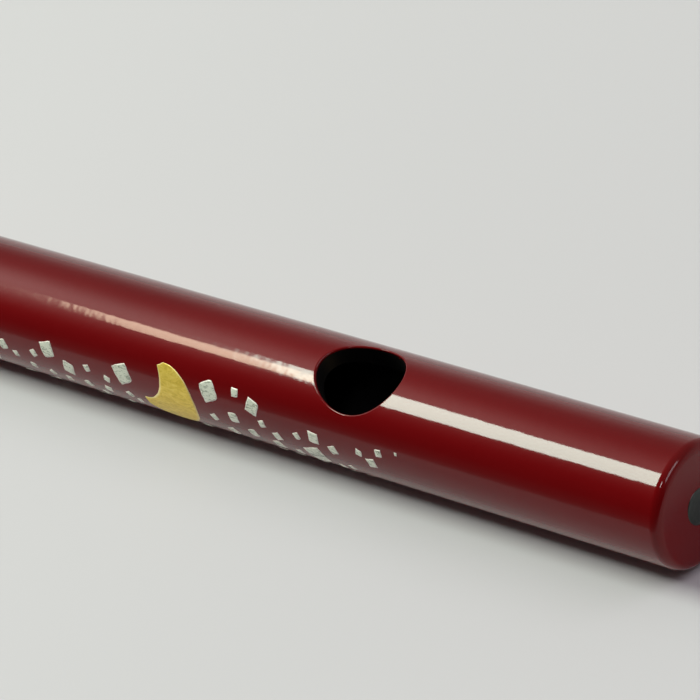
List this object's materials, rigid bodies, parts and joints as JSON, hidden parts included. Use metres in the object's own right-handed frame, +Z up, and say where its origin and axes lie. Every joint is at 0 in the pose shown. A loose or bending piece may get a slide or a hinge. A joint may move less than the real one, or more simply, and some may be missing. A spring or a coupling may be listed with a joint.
{
  "type": "side-blown bamboo flute",
  "caption": "Straight side-blown bamboo flute in red lacquer, with an oval blow hole, finger holes in line, a closed weighted head and an open foot.",
  "frame": {"origin": "on the bore's axis, half way between the head's end and the foot's end", "axes": "+X along the flute towards the closed head, +Z up through the blow hole and the finger holes, -Y towards the player's side with the foil decoration"},
  "size_m": [0.3901, 0.0191, 0.019],
  "materials": {
    "red_lacquer": "deep crimson lacquer, polished to a high gloss",
    "bamboo": "bare bamboo with its grain along the tube",
    "black_lacquer": "black lacquer, smooth",
    "plug_wood": "turned hardwood",
    "cork": "cut cork",
    "wax": "hard beeswax and resin",
    "weight_iron": "plain dull metal",
    "wrap_paper": "wound handmade paper",
    "dark_paint": "green-black lacquer paint",
    "gold_leaf": "crinkled gold leaf",
    "silver_leaf": "crinkled pale silver leaf"
  },
  "bodies": {
    "root": {"lacquer_coat": "red_lacquer", "bamboo_culm": "bamboo", "bore_lining": "black_lacquer", "head_plug": "plug_wood", "cork_stopper": "cork", "wax_seal": "wax", "counterweight": "weight_iron", "weight_wrap": "wrap_paper", "end_mark": "dark_paint", "gold_crescent": "gold_leaf", "leaf_flakes_large": "silver_leaf", "leaf_flakes_medium": "silver_leaf", "leaf_flakes_small": "silver_leaf"}
  },
  "joints": []
}
